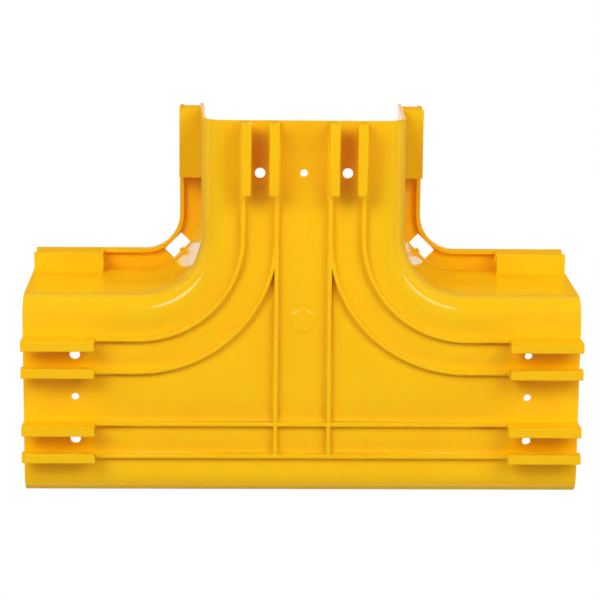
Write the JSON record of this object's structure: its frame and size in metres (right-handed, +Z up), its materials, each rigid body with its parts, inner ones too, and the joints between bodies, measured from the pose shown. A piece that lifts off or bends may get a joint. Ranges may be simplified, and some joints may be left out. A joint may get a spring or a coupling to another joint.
{
  "type": "fibre raceway tee fitting",
  "caption": "Open-top fibre raceway tee: straight run with one side branch, rounded inner corners, hooked cover rim, latch pockets and slotted bracket rails underneath.",
  "frame": {"origin": "middle of the bounding box's underside, on the plane that the rail lips stand on", "axes": "+X along the straight run, -Y towards the branch, +Z up, out of the open side"},
  "size_m": [0.441, 0.3202, 0.14],
  "materials": {
    "yellow_plastic": "smooth moulded yellow plastic, low gloss on flats and a soft sheen on the bends"
  },
  "bodies": {
    "root": {"raceway_tee": "yellow_plastic"}
  },
  "joints": []
}
